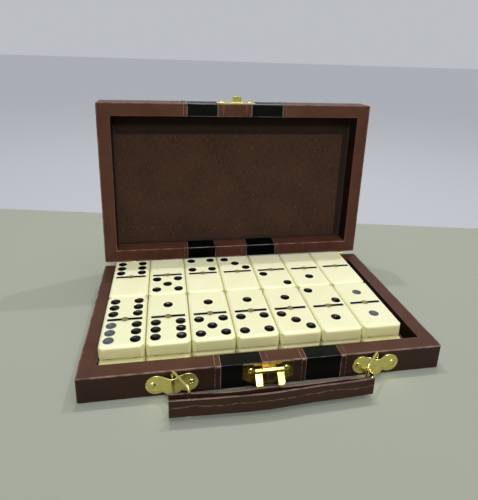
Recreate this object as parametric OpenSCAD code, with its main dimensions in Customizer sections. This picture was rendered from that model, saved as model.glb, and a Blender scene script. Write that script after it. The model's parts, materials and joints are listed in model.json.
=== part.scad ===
// Domino storage box: a shallow leatherette-covered case with a hinged lid,
// a bail catch, a strap handle on two wire rings and a double-six set inside.
// The origin is the centre of the underside. +X runs along the long side and
// +Y points to the hinges. The lid is drawn shut and then turned open about its pins.

/* [Tiles] */
// Width of one tile
tile_w = 24.9; // [23:0.1:26]
// Length of one tile
tile_l = 50.4; // [48:0.1:53]
// Thickness of one tile
tile_t = 8.5; // [7.5:0.1:9.5]
// Side gap between neighbouring tiles
tile_gap = 0.3; // [0.3:0.05:0.8]
// Gap under each tile of a stack
stack_gap = 0.1; // [0.05:0.05:0.3]
// Radius of a tile's upright corners
tile_corner_r = 3.5; // [2.5:0.1:4]
// Radius of a tile's long edges
tile_edge_r = 2.2; // [1.5:0.1:2.5]
// Distance from a tile's middle to the middle of each half
pip_half = 12.5; // [12:0.1:13]
// Pip spacing across a half
pip_dx = 7.2; // [6.5:0.1:7.6]
// Pip spacing along a half
pip_dy = 6.8; // [6.2:0.1:7.2]
// Width of a pip hollow
pip_d = 5; // [4.4:0.1:5.2]
// Depth of a pip hollow
pip_depth = 0.8; // [0.4:0.05:1]
// Length of the groove between the halves
groove_l = 19.2; // [16:0.2:21]
// Width of that groove
groove_w = 1.7; // [1:0.1:2]
// Depth of that groove
groove_depth = 0.5; // [0.3:0.05:0.7]
// Width of the spinner pin's head
spinner_d = 4.2; // [3:0.1:5]
// Depth of the spinner's head under the groove's bottom
spinner_sink = 0.2; // [0.1:0.05:0.3]
// Radius of the spinner pin's shank
pin_r = 0.95; // [0.6:0.05:1.2]
// Depth of the spinner pin's foot under the tile's face
pin_l = 4; // [3:0.1:5]
// Clearance of the spinner pin in its seat
pin_fit = 0.05; // [0.02:0.01:0.08]

/* [Tray] */
// Finger room at the right-hand end of the rows
finger_gap = 9.8; // [6:0.1:14]
// Spare depth of the tray over two tile lengths
tray_spare_d = 2.8; // [1:0.1:5]
// Gap between the tiles and the tray's other walls
tray_gap = 0.3; // [0.3:0.05:0.8]

/* [Case] */
// Height of the base
base_h = 15; // [14:0.1:18]
// Thickness of the wall boards
wall_board = 7.8; // [7:0.1:10]
// Thickness of the floor board and of the lid's top board
floor_board = 3; // [2.5:0.1:4]
// Thickness of the leatherette skin
cover_t = 0.8; // [0.6:0.05:1]
// Thickness of the padded fabric lining
lining_t = 2.2; // [1:0.1:2.5]
// Gap between the shut lid's rim and the base's rim
seam = 0.3; // [0.2:0.05:0.6]
// Room between the tiles and the shut lid's lining
head_room = 3.1; // [1:0.1:5]
// Radius of the case's upright corners
corner_r = 1.2; // [0.8:0.1:2]
// Height of the skin's lower edge over the underside
hem_lift = 0.1; // [0.05:0.05:0.3]

/* [Bands] */
// Centre of the base's left black band
base_band_left_x = -16.6; // [-24:0.1:-14]
// Width of the base's left black band
base_band_left_w = 22.6; // [18:0.1:26]
// Centre of the base's right black band
base_band_right_x = 30.1; // [26:0.1:36]
// Width of the base's right black band
base_band_right_w = 20.4; // [18:0.1:26]
// Centre of the lid's left black band
lid_band_left_x = -27.65; // [-34:0.1:-22]
// Width of the lid's left black band
lid_band_left_w = 22.3; // [18:0.1:26]
// Centre of the lid's right black band
lid_band_right_x = 20.85; // [16:0.1:30]
// Width of the lid's right black band
lid_band_right_w = 23.9; // [18:0.1:26]

/* [Sheet brass] */
// Thickness of every pressed brass plate
plate_t = 0.8; // [0.6:0.05:1]
// Radius of the screw shanks
screw_r = 1; // [0.8:0.05:1.2]
// Length of the screw shanks under the head
screw_l = 6.4; // [5:0.1:7]
// Radius of the screw heads
screw_head_r = 1.9; // [1.6:0.05:2.1]
// Height of the domed screw heads
screw_head_h = 0.7; // [0.5:0.05:0.8]
// Radial clearance of a screw shank in its pilot hole
screw_fit = 0.03; // [0.02:0.01:0.08]

/* [Catch] */
// Centre of the catch along the box
catch_x = -1.9; // [-10:0.1:10]
// Width of the catch plate and of the keeper plate
catch_w = 28.4; // [26:0.1:32]
// Height of the catch plate
catch_h = 13.8; // [12.5:0.1:13.8]
// Share of the height over which the catch plate and the keeper plate keep their full width
plate_side = 0.65; // [0.6:0.01:0.75]
// Half the width of their narrow edge, as a share of their width
plate_foot = 0.22; // [0.18:0.01:0.26]
// Drop of the catch plate under the rim
catch_drop = 0.2; // [0.1:0.05:0.4]
// Metal left under the window of the catch plate
window_edge = 1.3; // [1:0.1:1.8]
// Distance of the bail's pivot in front of the wall
bail_out = 2.9; // [2.7:0.05:3.4]
// Depth of the bail's pivot under the rim
bail_drop = 3; // [2.6:0.1:3.4]
// Radius of the bail's pivot pin
bail_pin_r = 0.8; // [0.6:0.05:0.9]
// Radial clearance of the bail's pin in its knuckle
bail_fit = 0.05; // [0.03:0.01:0.08]
// Outer radius of the knuckle
knuckle_r = 1.5; // [1.3:0.05:1.7]
// Width of the knuckle
knuckle_w = 7.6; // [6.8:0.1:8.4]
// Reach of the bail from its pivot
bail_reach = 10.8; // [10.2:0.1:11]
// Width of the bail's closed end bar
bail_end_w = 1.4; // [1:0.1:1.8]
// Radius of the bail's outer corners
bail_bend = 4.7; // [3:0.1:5]
// Width of each arm of the bail
bail_arm_w = 4; // [3:0.1:4.2]
// Thickness of the bail
bail_t = 0.9; // [0.7:0.05:1.1]
// Side gap between the knuckle and the bail's arms
bail_gap = 0.3; // [0.2:0.05:0.5]
// Angle of the hanging bail under the horizontal
bail_hang = 48; // [40:1:60]

/* [Keeper] */
// Centre of the keeper plate along the box
keeper_x = -3; // [-6:0.1:0]
// Height of the keeper plate
keeper_h = 13.6; // [12:0.1:14.5]
// Width of the hook
hook_w = 6.6; // [5:0.1:7.4]
// Reach of the hook in front of the wall
hook_out = 5.1; // [4.6:0.1:5.6]
// Height of the hook's underside over the shut rim
hook_rise = 3.9; // [3:0.1:4.2]
// Height of the hook's turned-up lip
hook_lip = 1.4; // [1.1:0.1:1.6]

/* [Handle] */
// Distance of the left bracket's middle from the left end
bracket_left_in = 48.7; // [45:0.1:54]
// Distance of the right bracket's middle from the right end
bracket_right_in = 41.3; // [37:0.1:46]
// Height of the brackets' middle over the underside
bracket_z = 7.4; // [7:0.1:8.4]
// Radius of the brackets' round ends
lobe_r = 5.6; // [5:0.1:6.2]
// Distance of the round ends from a bracket's middle
lobe_x = 8.3; // [7.5:0.1:9.5]
// Distance of the screws from a bracket's middle
bracket_screw_x = 10.2; // [9.4:0.1:11]
// Depth of the tunnel under a bracket's bridge
tunnel_d = 2.6; // [2.4:0.05:3.2]
// Height of the bridge
bridge_h = 9.8; // [9:0.1:10]
// Half the width of the bridge at the wall
bridge_foot = 6.2; // [5:0.1:6.4]
// Half the width of the bridge's flat top
bridge_top = 1.4; // [1.2:0.1:2.8]
// Diameter of the ring wire
wire_d = 1.6; // [1.4:0.05:1.7]
// Distance between a ring's upright bars
ring_l = 15.8; // [15:0.1:16.5]
// Height of a ring between its level bars
ring_h = 15.4; // [14.5:0.1:16]
// Height of a ring's underside over the underside of the box
ring_lift = 0.15; // [0.1:0.05:0.3]
// Bend radius of a ring's corners
ring_bend = 2.2; // [2:0.1:2.6]
// Turn of the left ring from straight out towards the middle
ring_left_turn = 30.8; // [26:0.2:34]
// Turn of the right ring from straight out towards the middle
ring_right_turn = 45.7; // [40:0.2:48]
// Turn of the strap about the upright
strap_turn = 0.9; // [0.5:0.1:1.5]
// Thickness of the folded strap leather
strap_t = 1.1; // [0.9:0.05:1.2]
// Height of the strap's front layer
strap_h = 10.6; // [9:0.1:11]
// Height by which the back layer is lower
strap_step = 1.1; // [0:0.1:2]
// Gap between the strap's fold and the level bar under it
strap_lift = 0.2; // [0.15:0.05:0.4]
// Length of the strap beyond the left ring
strap_tail = 10.1; // [4:0.1:12]
// Leather left beyond the right ring's hole
strap_lip = 1.25; // [1:0.05:3]
// Bow of the strap's front face over half its length
strap_bow = 2.15; // [1.5:0.05:3]
// Bow of the strap's back layer over half its length
strap_back_bow = 4; // [3.8:0.05:5]
// Gap between the layers in the middle
strap_mid_gap = 1.85; // [1.7:0.05:2.4]
// Front face of the strap in the middle, in front of the rings' far bars
strap_front = 5.05; // [4.9:0.05:5.6]
// Radial clearance of the right ring in its hole
strap_fit = 0.05; // [0.03:0.01:0.08]
// Extra length and depth of the right ring's hole
hole_play = 0.55; // [0.5:0.05:0.7]
// Clearance of the left ring round its slot
slot_fit = 0.2; // [0.15:0.05:0.3]
// Extra length of the left ring's slot
slot_play = 0.25; // [0.2:0.05:0.4]
// Slide of the left ring along its slot
slot_slide = 0.7; // [0.7:0.1:1.5]
// Thickness of the strap's stiffening card
core_t = 1.5; // [1.2:0.1:1.6]
// Height of the stiffening card
core_h = 4.4; // [3:0.1:6]

/* [Hinges] */
// Distance of the hinges from the middle
hinge_x = 82; // [70:0.5:88]
// Length of a hinge
hinge_w = 20; // [18:0.5:24]
// Distance of the pin behind the back face
hinge_out = 1.7; // [1.65:0.05:2]
// Outer radius of the hinge knuckles
hinge_r = 1.55; // [1.4:0.05:1.6]
// Radius of the hinge pin
hinge_pin_r = 0.8; // [0.6:0.05:0.9]
// Radial clearance of the pin in the lid's knuckle
hinge_fit = 0.05; // [0.03:0.01:0.08]
// Length of the lid's knuckle
hinge_mid_w = 6.4; // [5:0.1:8]
// End gap between knuckles
hinge_gap = 0.2; // [0.1:0.05:0.3]
// Reach of each leaf from the pin
leaf_reach = 11; // [10:0.1:12]
// Distance of the leaf's screws from the pin
leaf_screw = 6.5; // [6:0.1:7]
// Distance of the leaf's screws from the leaf's middle
leaf_screw_x = 6; // [5:0.1:7]
// Room round a knuckle in the other leaf
notch_room = 0.35; // [0.25:0.05:0.5]
// Length of the stop lug that holds the lid upright
lug_l = 3.6; // [3:0.1:4.5]
// Thickness of the stop lug
lug_t = 0.85; // [0.7:0.05:0.85]

/* [Hidden] */
$fn = 64;
arc_fn = 360;
eps = 0.01;
far = 400;

// Cross cut in a screw's head, and the pilot hole's start and end beyond the screw
cross_l = screw_head_r * 1.24;
cross_w = 0.5;
cross_h = screw_head_h * 0.75;
pilot_out = 5;
pilot_rest = 0.3;

cols = 7;
inner_w = cols * tile_w + (cols - 1) * tile_gap + tray_gap + finger_gap;
inner_d = 2 * tile_l + tray_spare_d + 2 * tray_gap;
rim = wall_board + 2 * cover_t;
box_w = inner_w + 2 * rim;
box_d = inner_d + 2 * rim;
front_y = -box_d / 2;
back_y = box_d / 2;
floor_z = cover_t + floor_board;
tray_z = floor_z + lining_t;
low_z = tray_z + stack_gap;
high_z = low_z + tile_t + stack_gap;
tiles_top = high_z + tile_t;
lid_z = base_h + seam;
lid_room = tiles_top - lid_z + head_room;
lid_h = lid_room + lining_t + floor_board + cover_t;
lid_top = lid_z + lid_h;
pin_y = back_y + hinge_out;
pin_z = base_h + seam / 2;

bail_y = front_y - bail_out;
bail_z = base_h - bail_drop;
bail_in = knuckle_w / 2 + bail_gap;
bail_side = bail_in + bail_arm_w;
bail_ear_r = bail_out - plate_t - screw_head_h - bail_fit;
catch_top = base_h - catch_drop;
catch_low = catch_top - catch_h;
catch_screw_x = [-9.6, 10.3];
catch_screw_z = base_h - 4.5;
keeper_low = lid_z + catch_drop;
keeper_screw_x = 10.45;
keeper_screw_z = lid_z + 4.6;

wire_r = wire_d / 2;
bracket_left_x = bracket_left_in - box_w / 2;
bracket_right_x = box_w / 2 - bracket_right_in;
ring_y = front_y - tunnel_d / 2 - 0.15;
ring_z = ring_lift + wire_r;
strap_z = ring_lift + wire_d + strap_lift;
left_bar = [bracket_left_x + ring_l * sin(ring_left_turn), ring_y - ring_l * cos(ring_left_turn)];
right_bar = [bracket_right_x - ring_l * sin(ring_right_turn), ring_y - ring_l * cos(ring_right_turn)];
strap_mid = (left_bar + right_bar) / 2;
// A bar's place along and across the strap, from the point midway between the bars
function on_strap(p) = let (d = p - strap_mid, c = cos(strap_turn), s = sin(strap_turn))
    [d[0] * c + d[1] * s, d[1] * c - d[0] * s];
left_on = on_strap(left_bar);
right_on = on_strap(right_bar);
strap_x0 = left_on[0] - strap_tail;
strap_x1 = right_on[0] + wire_r + strap_fit + strap_lip;
strap_half = (strap_x1 - strap_x0) / 2;
strap_c = (strap_x0 + strap_x1) / 2;
// Radius of an arc that bows by b over the half length h
function bow_radius(b, h) = (h * h + b * b) / (2 * b);
front_bow_r = bow_radius(strap_bow, strap_half);
back_bow_r = bow_radius(strap_back_bow, strap_half);

hinge_end_w = (hinge_w - hinge_mid_w) / 2 - hinge_gap;
hinge_notch = hinge_r + notch_room;

// Tiles from left to right: the half at the back first, then the half at the front
high_back = [[6, 0], [0, 5], [4, 0], [3, 0], [0, 2], [0, 1], [0, 0]];
high_front = [[6, 6], [1, 6], [1, 5], [1, 4], [1, 3], [2, 1], [1, 1]];
low_back = [[2, 2], [2, 3], [2, 4], [2, 5], [2, 6], [3, 3], [3, 4]];
low_front = [[3, 5], [3, 6], [4, 4], [4, 5], [4, 6], [5, 5], [5, 6]];
back_row_y = back_y - rim - tray_gap - tile_l / 2;
front_row_y = back_row_y - tile_l - tile_gap;
// Slides towards the front: of the upper tiles of each column and of the lower front tiles
high_slide = [0, 0, 0, 0.2, 0.5, 0.8, 0];
low_slide = [for (i = [0 : cols - 1]) i > 1 && i < 6 ? high_slide[i] : tray_spare_d - tile_gap];
// A tile's halves, column, middle along Y and underside
function row(list, y, z, slide) = [for (i = [0 : cols - 1]) [list[i], i, y - slide[i], z]];
TILES = concat(
    row(high_back, back_row_y, high_z, high_slide),
    row(high_front, front_row_y, high_z, high_slide),
    row(low_back, back_row_y, low_z, [for (i = [0 : cols - 1]) 0]),
    row(low_front, front_row_y, low_z, low_slide)
);
function tile_name(t) = str("tile_", min(t[0]), "_", max(t[0]));

brown = "#4a2c24";
black = "#121412";
brass = "#c8bc5a";
ivory = "#e8e4c4";
board = "#b08a5c";
fabric = "#3a2a1e";
card = "#8c8064";

// ---------- shared shapes ----------

// Rectangle with round corners, centred
module round_rect(w, d, r) {
    square([w - 2 * r, d], center = true);
    square([w, d - 2 * r], center = true);
    for (x = [-1, 1], y = [-1, 1])
        translate([x * (w / 2 - r), y * (d / 2 - r)])
            circle(r);
}

// Plain box centred in X and Y between two heights
module slab(w, d, z0, z1) {
    translate([-w / 2, -d / 2, z0])
        cube([w, d, z1 - z0]);
}

// Cylinder along X, centred at x
module bar_x(r, l, x = 0) {
    translate([x - l / 2, 0, 0])
        rotate([0, 90, 0])
            cylinder(r = r, h = l);
}

// The lid's place: drawn shut, then turned up by 90 degrees about the hinge pins
module lid_pose() {
    translate([0, pin_y, pin_z])
        rotate([-90, 0, 0])
            translate([0, -pin_y, -pin_z])
                children();
}

// A part of the lid drawn with its top face down at z = 0 is put in its shut place
module lid_flip() {
    translate([0, 0, lid_top])
        mirror([0, 0, 1])
            children();
}

// A screw whose head sits on the plane y = 0 and points to -Y
module screw() {
    sphere_r = (screw_head_r * screw_head_r + screw_head_h * screw_head_h) / (2 * screw_head_h);
    difference() {
        union() {
            translate([0, -eps, 0])
                rotate([-90, 0, 0])
                    cylinder(r = screw_r, h = screw_l + eps);
            intersection() {
                translate([0, sphere_r - screw_head_h, 0])
                    sphere(sphere_r);
                rotate([90, 0, 0])
                    cylinder(r = 2 * screw_head_r, h = 2 * screw_head_h);
            }
        }
        for (turn = [20, 110])
            rotate([0, turn, 0])
                translate([-cross_l / 2, -screw_head_h - eps, -cross_w / 2])
                    cube([cross_l, cross_h, cross_w]);
    }
}

// The pilot hole of such a screw, from in front of its plate
module pilot() {
    translate([0, -pilot_out, 0])
        rotate([-90, 0, 0])
            cylinder(r = screw_r + screw_fit, h = pilot_out + screw_l + pilot_rest);
}

// Places on the front wall of the base, the front wall of the lid and the back walls
module at_catch_screws() {
    for (x = catch_screw_x)
        translate([catch_x + x, front_y - plate_t, catch_screw_z])
            children();
}

module at_bracket_screws() {
    for (b = [bracket_left_x, bracket_right_x], s = [-1, 1])
        translate([b + s * bracket_screw_x, front_y - plate_t, bracket_z])
            children();
}

module at_keeper_screws() {
    for (s = [-1, 1])
        translate([keeper_x + s * keeper_screw_x, front_y - plate_t, keeper_screw_z])
            children();
}

// side is -1 for the base's leaves and 1 for the lid's
module at_leaf_screws(side) {
    for (h = [-1, 1], s = [-1, 1])
        translate([h * hinge_x + s * leaf_screw_x, back_y + plate_t, pin_z + side * leaf_screw])
            rotate([0, 0, 180])
                children();
}

module base_pilots() {
    at_catch_screws() pilot();
    at_bracket_screws() pilot();
    at_leaf_screws(-1) pilot();
}

module lid_pilots() {
    at_keeper_screws() pilot();
    at_leaf_screws(1) pilot();
}

// ---------- case ----------

// The two long wall boards of a tray whose rim is up at height h
module long_boards(h) {
    for (s = [-1, 1])
        translate([0, s * (box_d / 2 - cover_t - wall_board / 2), 0])
            slab(box_w - 2 * cover_t, wall_board, floor_z, h - cover_t);
}

// The two end boards, fitted between the long ones
module end_boards(h) {
    for (s = [-1, 1])
        translate([s * (box_w / 2 - cover_t - wall_board / 2), 0, 0])
            slab(wall_board, inner_d + 2 * cover_t, floor_z, h - cover_t);
}

module floor_panel() {
    slab(box_w - 2 * cover_t, box_d - 2 * cover_t, cover_t, floor_z);
}

// The leatherette skin of a tray: outside, over the rim and down the inside.
// low is where the board space starts: under the skin it closes the outer face.
module skin(h, z0, low) {
    difference() {
        translate([0, 0, z0])
            linear_extrude(h - z0)
                round_rect(box_w, box_d, corner_r);
        difference() {
            slab(box_w - 2 * cover_t, box_d - 2 * cover_t, low, h - cover_t);
            slab(inner_w + 2 * cover_t, inner_d + 2 * cover_t, floor_z, h);
        }
        slab(inner_w, inner_d, floor_z, h + 1);
    }
}

module base_skin() {
    difference() {
        skin(base_h, hem_lift, -1);
        base_pilots();
    }
}

module lid_skin() {
    difference() {
        lid_flip()
            skin(lid_h, 0, cover_t);
        lid_pilots();
    }
}

// Keeps what lies between two planes across X
module between(x0, x1) {
    intersection() {
        children();
        translate([x0, -far / 2, -far / 2])
            cube([x1 - x0, far, far]);
    }
}

// Keeps a skin's two bands (which = 0), its ends (1) or its centre (2)
module band_part(which, c0, w0, c1, w1) {
    if (which == 0) {
        between(c0 - w0 / 2, c0 + w0 / 2) children();
        between(c1 - w1 / 2, c1 + w1 / 2) children();
    }
    if (which == 1) {
        between(-far, c0 - w0 / 2) children();
        between(c1 + w1 / 2, far) children();
    }
    if (which == 2)
        between(c0 + w0 / 2, c1 - w1 / 2) children();
}

module base_skin_part(which) {
    band_part(which, base_band_left_x, base_band_left_w, base_band_right_x, base_band_right_w)
        base_skin();
}

module lid_skin_part(which) {
    lid_pose()
        band_part(which, lid_band_left_x, lid_band_left_w, lid_band_right_x, lid_band_right_w)
            lid_skin();
}

module base_long_boards() {
    color(board)
        difference() {
            long_boards(base_h);
            base_pilots();
        }
}

module base_end_boards() {
    color(board)
        end_boards(base_h);
}

module base_floor_board() {
    color(board)
        floor_panel();
}

module base_cover_ends() {
    color(brown)
        base_skin_part(1);
}

module base_cover_centre() {
    color(brown)
        base_skin_part(2);
}

module base_bands() {
    color(black)
        base_skin_part(0);
}

module base_bottom_sheet() {
    color(brown)
        slab(box_w - 2 * cover_t, box_d - 2 * cover_t, 0, cover_t);
}

module base_lining() {
    color(fabric)
        slab(inner_w, inner_d, floor_z, tray_z);
}

module lid_long_boards() {
    color(board)
        lid_pose()
            difference() {
                lid_flip()
                    long_boards(lid_h);
                lid_pilots();
            }
}

module lid_end_boards() {
    color(board)
        lid_pose()
            lid_flip()
                end_boards(lid_h);
}

module lid_top_board() {
    color(board)
        lid_pose()
            lid_flip()
                floor_panel();
}

module lid_cover_ends() {
    color(brown)
        lid_skin_part(1);
}

module lid_cover_centre() {
    color(brown)
        lid_skin_part(2);
}

module lid_bands() {
    color(black)
        lid_skin_part(0);
}

module lid_lining() {
    color(fabric)
        lid_pose()
            lid_flip()
                slab(inner_w, inner_d, floor_z, tray_z);
}

// ---------- catch and keeper ----------

// Plate outline in X and Z: square corners at one edge and cut corners at the other.
// It stands on z = 0 with its cut corners up.
module cut_plate(w, h) {
    side = h * plate_side;
    foot = w * plate_foot;
    rotate([90, 0, 0])
        linear_extrude(plate_t)
            polygon([[-w / 2, 0], [w / 2, 0], [w / 2, side], [foot, h], [-foot, h], [-w / 2, side]]);
}

module catch_plate() {
    window_w = knuckle_w - 2 * bail_gap;
    window_low = catch_low + window_edge;
    window_h = bail_z - knuckle_r - 1 - window_low;
    color(brass)
        difference() {
            union() {
                translate([catch_x, front_y, catch_top])
                    mirror([0, 0, 1])
                        cut_plate(catch_w, catch_h);
                translate([catch_x, bail_y, bail_z])
                    bar_x(knuckle_r, knuckle_w);
                translate([catch_x - knuckle_w / 2, bail_y, bail_z + knuckle_r - plate_t])
                    cube([knuckle_w, bail_out - plate_t / 2, plate_t]);
            }
            translate([catch_x, bail_y, bail_z])
                bar_x(bail_pin_r + bail_fit, knuckle_w + 1);
            translate([catch_x - window_w / 2, front_y - 2 * plate_t, window_low])
                cube([window_w, 3 * plate_t, window_h]);
            at_catch_screws() pilot();
        }
}

// The bail hangs straight down from its pivot at the origin before it is turned
module bail_flat() {
    flat = bail_side - bail_bend;
    bar_x(bail_pin_r, 2 * bail_side);
    for (s = [-1, 1])
        bar_x(bail_ear_r, bail_arm_w, s * (bail_in + bail_arm_w / 2));
    translate([0, bail_t / 2, 0])
        rotate([90, 0, 0])
            linear_extrude(bail_t)
                difference() {
                    union() {
                        translate([-bail_side, bail_bend - bail_reach])
                            square([2 * bail_side, bail_reach - bail_bend]);
                        translate([-flat, -bail_reach])
                            square([2 * flat, bail_bend + eps]);
                        for (s = [-1, 1])
                            translate([s * flat, bail_bend - bail_reach])
                                circle(bail_bend);
                    }
                    translate([-bail_in, bail_end_w - bail_reach])
                        square([2 * bail_in, bail_reach]);
                }
}

module catch_bail() {
    color(brass)
        translate([catch_x, bail_y, bail_z])
            rotate([bail_hang - 90, 0, 0])
                bail_flat();
}

module catch_screws() {
    color(brass)
        at_catch_screws() screw();
}

module keeper_plate() {
    hook_z = lid_z + hook_rise;
    color(brass)
        lid_pose()
            difference() {
                union() {
                    translate([keeper_x, front_y, keeper_low])
                        cut_plate(catch_w, keeper_h);
                    translate([catch_x - hook_w / 2, front_y - hook_out, hook_z])
                        cube([hook_w, hook_out - plate_t / 2, plate_t]);
                    translate([catch_x - hook_w / 2, front_y - hook_out, hook_z])
                        cube([hook_w, plate_t, hook_lip]);
                }
                at_keeper_screws() pilot();
            }
}

module keeper_screws() {
    color(brass)
        lid_pose()
            at_keeper_screws() screw();
}

// ---------- handle ----------

// Bracket pressed from one sheet: two round ends and a bridge over the ring's near bar
module handle_bracket(x) {
    sheet = plate_t;
    tunnel_foot = bridge_foot - sheet;
    tunnel_top = bridge_top - sheet / 2;
    color(brass)
        translate([x, front_y, 0])
            difference() {
                union() {
                    translate([0, 0, bracket_z])
                        rotate([90, 0, 0])
                            linear_extrude(sheet) {
                                for (s = [-1, 1])
                                    translate([s * lobe_x, 0])
                                        circle(lobe_r);
                                square([2 * lobe_x, bridge_h], center = true);
                            }
                    translate([0, 0, bracket_z - bridge_h / 2])
                        linear_extrude(bridge_h)
                            polygon([[-bridge_foot, 0], [-bridge_top, -tunnel_d - sheet],
                                     [bridge_top, -tunnel_d - sheet], [bridge_foot, 0]]);
                }
                translate([0, 0, bracket_z - bridge_h])
                    linear_extrude(2 * bridge_h)
                        polygon([[-tunnel_foot, eps], [-tunnel_top, -tunnel_d],
                                 [tunnel_top, -tunnel_d], [tunnel_foot, eps]]);
                for (s = [-1, 1])
                    translate([s * bracket_screw_x, -sheet, bracket_z])
                        pilot();
            }
}

module handle_bracket_left() {
    handle_bracket(bracket_left_x);
}

module handle_bracket_right() {
    handle_bracket(bracket_right_x);
}

module bracket_screws() {
    color(brass)
        at_bracket_screws() screw();
}

// A wire ring with one upright bar on the Z axis and the other at -Y
module wire_ring() {
    long = ring_l - 2 * ring_bend;
    tall = ring_h - 2 * ring_bend;
    for (y = [0, -ring_l])
        translate([0, y, ring_bend])
            cylinder(r = wire_r, h = tall);
    for (z = [0, ring_h])
        translate([0, -ring_bend, z])
            rotate([90, 0, 0])
                cylinder(r = wire_r, h = long);
    for (y = [0, 1], z = [0, 1])
        translate([0, -ring_bend - y * long, ring_bend + z * tall])
            mirror([0, y, 0])
                mirror([0, 0, 1 - z])
                    rotate([90, 0, 90])
                        rotate_extrude(angle = 90)
                            translate([ring_bend, 0])
                                circle(wire_r, $fn = 32);
}

module ring_at(x, turn) {
    color(brass)
        translate([x, ring_y, ring_z])
            rotate([0, 0, turn])
                wire_ring();
}

module handle_ring_left() {
    ring_at(bracket_left_x, ring_left_turn);
}

module handle_ring_right() {
    ring_at(bracket_right_x, -ring_right_turn);
}

// Everything on the strap is drawn between the rings' far bars, front to -Y
module on_handle() {
    translate([strap_mid[0], strap_mid[1], 0])
        rotate([0, 0, strap_turn])
            children();
}

// Round column whose front runs through y = -front in the strap's middle
module bow_column(front, r, z0, z1) {
    translate([strap_c, r - front, z0])
        cylinder(r = r, h = z1 - z0, $fn = arc_fn);
}

// Hole with round corners through the strap's fold. The axis of the bar at p may stand
// anywhere in the rectangle from x0 to x1 along the strap and from 0 to y1 across it.
module bar_hole(p, r, x0, x1, y1) {
    translate([p[0] + (x0 + x1) / 2, p[1] + y1 / 2, 0])
        linear_extrude(strap_z + strap_t + strap_fit)
            round_rect(x1 - x0 + 2 * r, y1 + 2 * r, r);
}

module handle_strap() {
    top = strap_z + strap_h;
    back_front = strap_front - strap_t - strap_mid_gap;
    deep = hole_play + strap_fit;
    color(brown)
        on_handle()
            difference() {
                intersection() {
                    bow_column(strap_front, front_bow_r, strap_z, top);
                    translate([strap_x0, -far / 2, strap_z])
                        cube([strap_x1 - strap_x0, far, strap_h]);
                }
                bow_column(back_front - strap_t, back_bow_r - strap_t, strap_z - 1, top + 1);
                difference() {
                    bow_column(strap_front - strap_t, front_bow_r - strap_t, strap_z + strap_t, top + 1);
                    bow_column(back_front, back_bow_r, strap_z, top - strap_step);
                }
                bar_hole(right_on, wire_r + strap_fit, 0, hole_play, hole_play);
                bar_hole(left_on, wire_r + slot_fit, -slot_slide - slot_play, 0, deep);
            }
}

module handle_core() {
    front = strap_front - strap_t - slot_fit / 2;
    margin = 2 * wire_r + slot_slide;
    z0 = strap_z + strap_t;
    color(card)
        on_handle()
            intersection() {
                difference() {
                    bow_column(front, front_bow_r - strap_t, z0, z0 + core_h);
                    bow_column(front - core_t, front_bow_r - strap_t - core_t, z0 - 1, z0 + core_h + 1);
                }
                translate([left_on[0] + margin, -far / 2, z0])
                    cube([right_on[0] - left_on[0] - 2 * margin, far / 2, core_h]);
            }
}

// ---------- hinges ----------

// One tube with its bore, centred at x on the pin's axis
module hinge_tube(l, bore, x = 0) {
    difference() {
        bar_x(hinge_r, l, x);
        bar_x(bore, l + 1, x);
    }
}

module base_leaf() {
    end_x = hinge_mid_w / 2 + hinge_gap + hinge_end_w / 2;
    difference() {
        union() {
            translate([-hinge_w / 2, -hinge_out, -leaf_reach])
                cube([hinge_w, plate_t, leaf_reach]);
            for (s = [-1, 1])
                bar_x(hinge_r, hinge_end_w, s * end_x);
        }
        for (s = [-1, 1])
            bar_x(hinge_pin_r + hinge_fit * 0.4, hinge_end_w + 1, s * end_x);
        translate([-hinge_mid_w / 2 - hinge_gap, -hinge_out - 1, -hinge_notch])
            cube([hinge_mid_w + 2 * hinge_gap, 4, hinge_notch + 2]);
    }
}

module lid_leaf() {
    side_w = (hinge_w - hinge_mid_w) / 2 + 1;
    difference() {
        union() {
            translate([-hinge_w / 2, -hinge_out, 0])
                cube([hinge_w, plate_t, leaf_reach]);
            bar_x(hinge_r, hinge_mid_w);
            translate([-hinge_mid_w / 2, 0, -lug_t])
                cube([hinge_mid_w, lug_l, lug_t]);
        }
        bar_x(hinge_pin_r + hinge_fit, hinge_mid_w + 1);
        for (s = [-1, 1])
            translate([s * (hinge_mid_w / 2 + side_w / 2), 0, 0])
                slab(side_w, 4 * hinge_out, -2, hinge_notch);
    }
}

module at_hinges() {
    for (h = [-1, 1])
        translate([h * hinge_x, pin_y, pin_z])
            children();
}

module hinge_base_leaves() {
    color(brass)
        difference() {
            at_hinges() base_leaf();
            at_leaf_screws(-1) pilot();
        }
}

module hinge_lid_leaves() {
    color(brass)
        lid_pose()
            difference() {
                at_hinges() lid_leaf();
                at_leaf_screws(1) pilot();
            }
}

module hinge_pins() {
    color(brass)
        at_hinges() bar_x(hinge_pin_r, hinge_w + 0.6);
}

module hinge_base_screws() {
    color(brass)
        at_leaf_screws(-1) screw();
}

module hinge_lid_screws() {
    color(brass)
        lid_pose()
            at_leaf_screws(1) screw();
}

// ---------- tiles ----------

// Places of the pips of one half, in steps of the pip spacing
function pips(n) =
    n == 0 ? [] :
    n == 1 ? [[0, 0]] :
    n == 2 ? [[-1, 1], [1, -1]] :
    n == 3 ? [[-1, 1], [0, 0], [1, -1]] :
    n == 4 ? [for (x = [-1, 1], y = [-1, 1]) [x, y]] :
    n == 5 ? [[0, 0], for (x = [-1, 1], y = [-1, 1]) [x, y]] :
    [for (x = [-1, 1], y = [-1, 0, 1]) [x, y]];

module tile_blank() {
    intersection() {
        linear_extrude(tile_t)
            round_rect(tile_w, tile_l, tile_corner_r);
        translate([0, tile_l, tile_t / 2])
            rotate([90, 0, 0])
                linear_extrude(2 * tile_l)
                    round_rect(tile_w, tile_t, tile_edge_r);
        translate([-tile_w, 0, tile_t / 2])
            rotate([90, 0, 90])
                linear_extrude(2 * tile_w)
                    round_rect(tile_l, tile_t, tile_edge_r);
    }
}

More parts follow.
